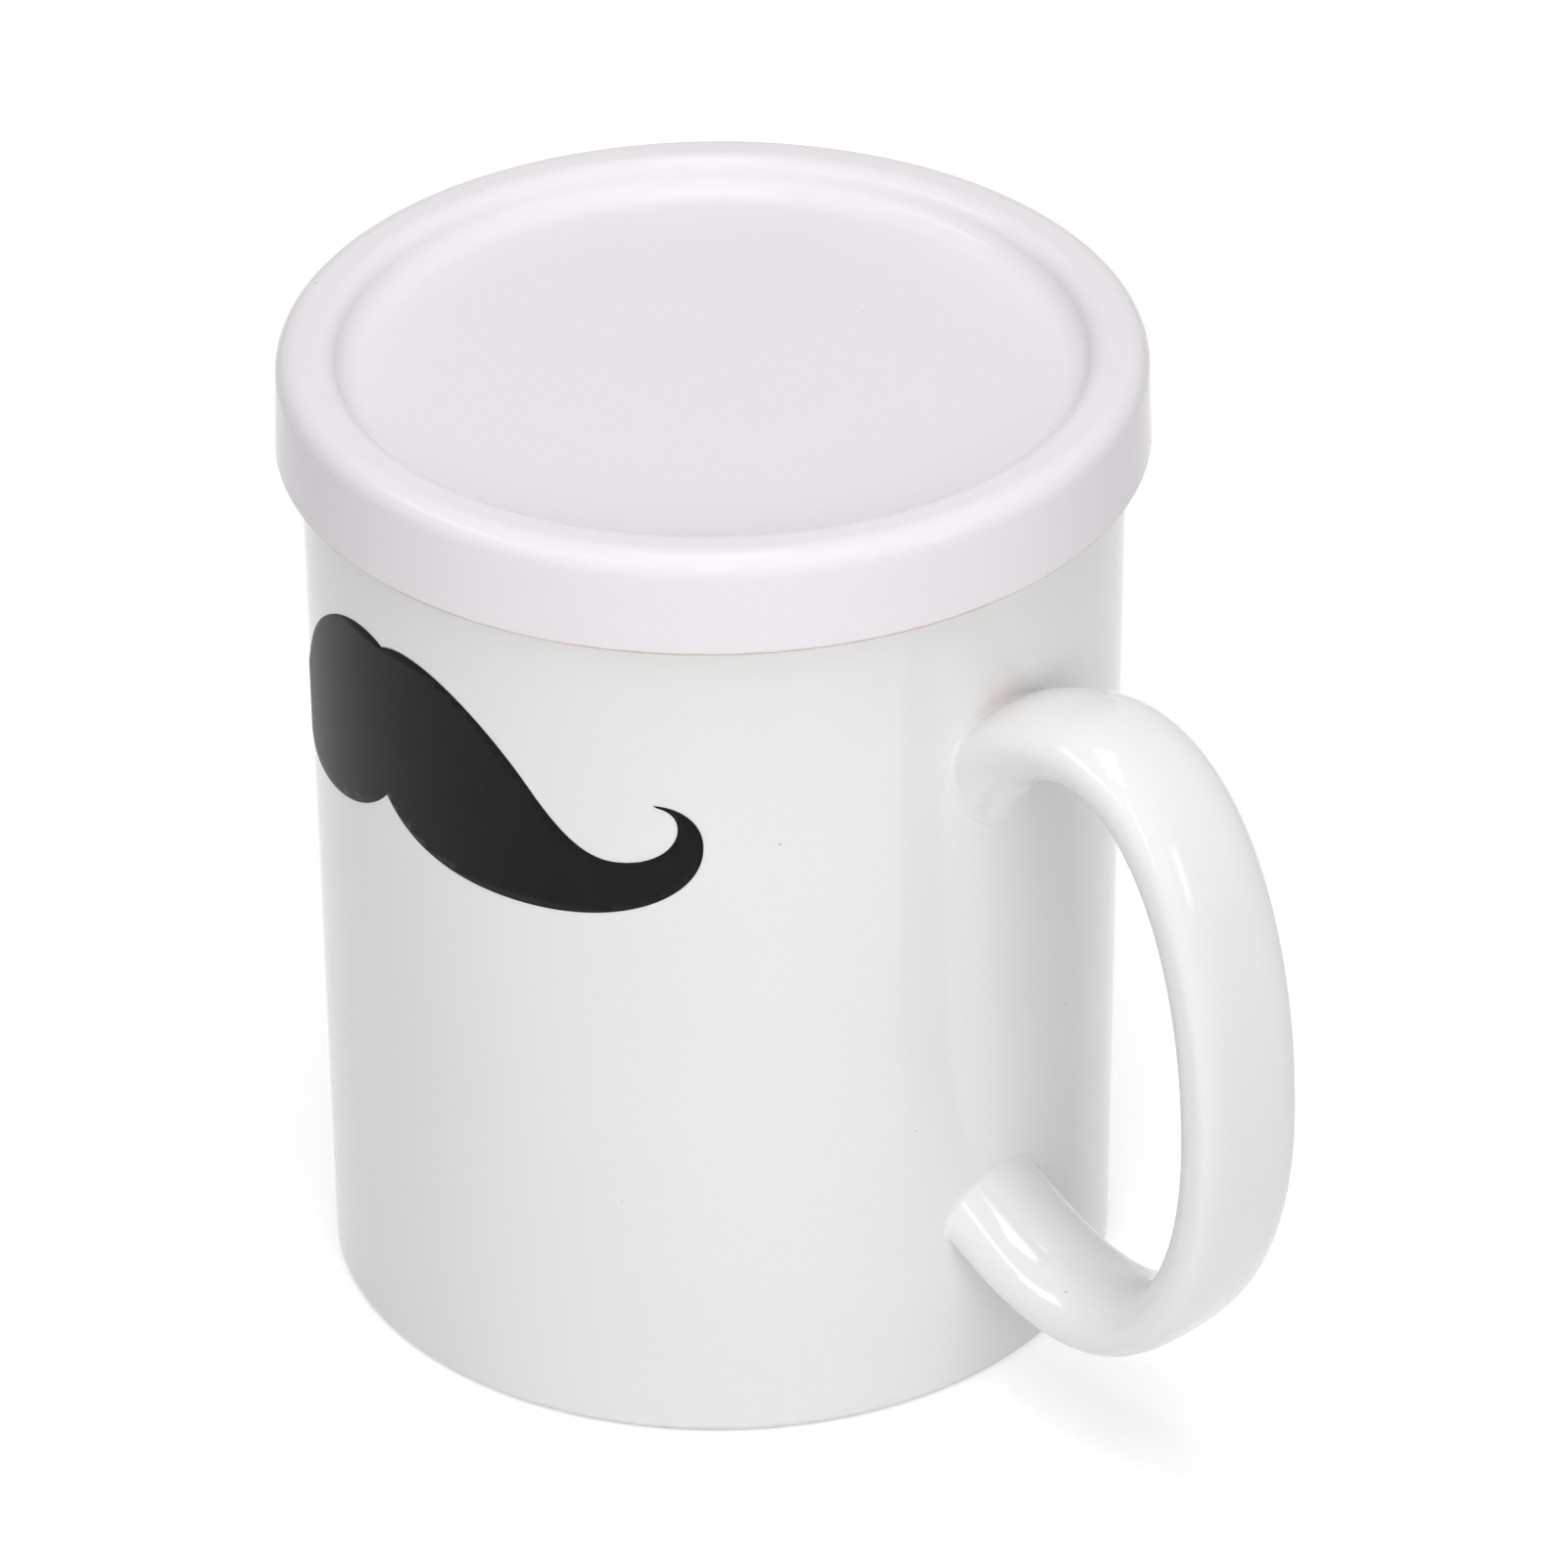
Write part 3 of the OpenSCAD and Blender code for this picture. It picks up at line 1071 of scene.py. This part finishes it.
@dataclass(frozen=True)
class Lamp:
    """A soft box that looks at the mug.

    Bearings are in degrees to the right of the camera. Lengths are in metres. Brightness 1 is paper white.
    """

    name: str
    bearing: float
    elevation: float
    width: float
    height: float
    brightness: float
    duty: Duty = Duty.LIGHT
    distance: float = 1.1

    def place(self, heading: float, target: Vector) -> bpy.types.Object:
        """Hangs the lamp.

        Args:
            heading: Direction in which the camera stands, in degrees.
            target: Point that the lamp looks at, in metres.

        Returns:
            The lamp.
        """
        data = bpy.data.lights.new(self.name, "AREA")
        data.shape, data.size, data.size_y = "RECTANGLE", self.width, self.height
        data.energy = self.brightness * math.pi * self.width * self.height
        lamp = bpy.data.objects.new(self.name, data)
        lamp.visible_glossy = self.duty is Duty.SHINE
        lamp.visible_diffuse = self.duty is Duty.LIGHT
        a, e = math.radians(heading + self.bearing), math.radians(self.elevation)
        away = Vector((math.sin(a) * math.cos(e), -math.cos(a) * math.cos(e), math.sin(e)))
        lamp.location = target + self.distance * away
        lamp.rotation_euler = (-away).to_track_quat("-Z", "Y").to_euler()
        bpy.context.scene.collection.objects.link(lamp)
        return lamp


@dataclass
class Studio:
    """Pale floor, soft lamps, plain world and the photograph's camera."""

    heading: float = 46.0
    stand_off: float = 896.05
    camera_z: float = 602.86
    camera_side: float = 6.72
    pitch: float = 31.584
    roll: float = -0.447
    sensor: float = 36.0
    focal_px: float = 10618.5
    image_px: float = 1601.0
    clip_near: float = 0.01
    clip_far: float = 20.0
    ambient: float = 0.28
    shown: float = 1.0
    floor_half: float = 3.0
    floor_cells: int = 8
    floor_colour: Colour = (0.75, 0.75, 0.75, 1)
    floor_lift: float = 0.46
    aim_z: float = 55.0
    lamps: tuple[Lamp, ...] = (
        Lamp("front_right", 25, 18, 0.4, 0.4, 5.0),
        Lamp("front_left", -12, 20, 0.4, 0.4, 4.5),
        Lamp("front_high", -12, 48, 0.4, 0.4, 2.0),
        Lamp("front_top", 8, 70, 0.6, 0.6, 2.2),
        Lamp("overhead", 0, 89, 0.6, 0.6, 3.0),
        Lamp("back_light", 180, 40, 0.6, 0.6, 0.7),
        Lamp("left_card", -82, 43, 0.75, 0.24, 4.2, Duty.SHINE),
        Lamp("left_strip", -38, 44, 0.5, 0.13, 4.2, Duty.SHINE),
        Lamp("right_card", 58, 20, 0.16, 0.35, 2.2, Duty.SHINE),
        Lamp("front_card", 0, 36, 0.1, 0.62, 3.0, Duty.SHINE),
        Lamp("top_card", 0, 84, 0.36, 0.6, 3.4, Duty.SHINE),
    )

    def camera(self) -> None:
        """Sets up the camera where the photograph was taken."""
        data = bpy.data.cameras.new("camera")
        data.sensor_width = self.sensor
        data.lens = self.sensor * self.focal_px / self.image_px
        data.clip_start, data.clip_end = self.clip_near, self.clip_far
        camera = bpy.data.objects.new("camera", data)
        turn = Matrix.Rotation(math.radians(self.heading), 4, "Z")
        tilt = Matrix.Rotation(math.radians(90 - self.pitch), 4, "X")
        roll = Matrix.Rotation(math.radians(self.roll), 4, "Z")
        spot = Vector((self.camera_side, -self.stand_off, self.camera_z)) * MM
        camera.matrix_world = turn @ Matrix.Translation(spot) @ tilt @ roll
        bpy.context.scene.collection.objects.link(camera)
        bpy.context.scene.camera = camera

    @staticmethod
    def seen(sheet: Sheet) -> bpy.types.NodeSocket:
        """Finds the rays that show the background: those of the camera, of gloss and of glass.

        Args:
            sheet: Sheet that the mask is made on.

        Returns:
            The socket of the mask.
        """
        path = sheet.add("ShaderNodeLightPath").outputs
        shown = sheet.math("MAXIMUM", path["Is Camera Ray"], path["Is Glossy Ray"])
        return sheet.math("MAXIMUM", shown, path["Is Transmission Ray"])

    def world(self) -> None:
        """Even pale light all round, with a white background."""
        world = bpy.data.worlds.new("studio")
        world.use_nodes = True
        world.node_tree.nodes.clear()
        sheet = Sheet(world.node_tree)
        light = sheet.add("ShaderNodeBackground", {"Color": WHITE, "Strength": self.ambient})
        shown = sheet.add("ShaderNodeBackground", {"Color": WHITE, "Strength": self.shown})
        layers = {0: self.seen(sheet), 1: light.outputs[0], 2: shown.outputs[0]}
        both = sheet.add("ShaderNodeMixShader", layers)
        sheet.add("ShaderNodeOutputWorld", {"Surface": both.outputs[0]})
        bpy.context.scene.world = world

    def floor(self) -> None:
        """Wide pale floor that looks white and keeps the mug's shadow."""
        bm = bmesh.new()
        cells = self.floor_cells
        bmesh.ops.create_grid(bm, x_segments=cells, y_segments=cells, size=self.floor_half)
        mesh = bpy.data.meshes.new("floor")
        bm.to_mesh(mesh)
        bm.free()
        material = bpy.data.materials.new("floor_paper")
        material.use_nodes = True
        material.node_tree.nodes.clear()
        sheet = Sheet(material.node_tree)
        paper = sheet.add("ShaderNodeBsdfDiffuse", {"Color": self.floor_colour})
        lift = sheet.math("MULTIPLY", self.seen(sheet), self.floor_lift)
        glow = sheet.add("ShaderNodeEmission", {"Strength": lift})
        both = sheet.add("ShaderNodeAddShader", {0: paper.outputs[0], 1: glow.outputs[0]})
        sheet.add("ShaderNodeOutputMaterial", {"Surface": both.outputs[0]})
        mesh.materials.append(material)
        floor = bpy.data.objects.new("floor", mesh)
        bpy.context.scene.collection.objects.link(floor)

    def build(self) -> None:
        """Sets up everything round the mug."""
        self.camera()
        self.world()
        self.floor()
        target = Vector((0, 0, self.aim_z * MM))
        for lamp in self.lamps:
            lamp.place(self.heading, target)
        bpy.context.scene.view_settings.view_transform = "Standard"


def main() -> None:
    """Builds the pieces in order, then the studio."""
    logging.basicConfig(level=logging.INFO, format="%(message)s")
    effects = Effects()
    mug = MugBody()
    lid = CapLid(mug)
    body_glaze = Glaze(
        "body_glaze",
        bare_low=-BEYOND,
        bare_high=mug.bare_h,
        lip_low=mug.height - mug.thin_lip,
        lip_high=mug.height + BEYOND,
    ).make(effects)
    # The lid has no thinned lip, so that band lies above it.
    lid_glaze = Glaze(
        "lid_glaze",
        bare_low=lid.skirt_z - BEYOND,
        bare_high=lid.skirt_z + lid.bare_h,
        lip_low=lid.crest_z + BEYOND,
        lip_high=lid.crest_z + 2 * BEYOND,
        deep=(0.835, 0.802, 0.838, 1),
        thin=(0.82, 0.786, 0.816, 1),
        specular=0.15,
    ).make(effects)
    mug.build(body_glaze)
    StrapHandle(mug).build(body_glaze)
    MoustachePrint(mug).build(TransferInk().make(effects))
    lid.build(lid_glaze)
    Studio().build()


if __name__ == "__main__":
    main()
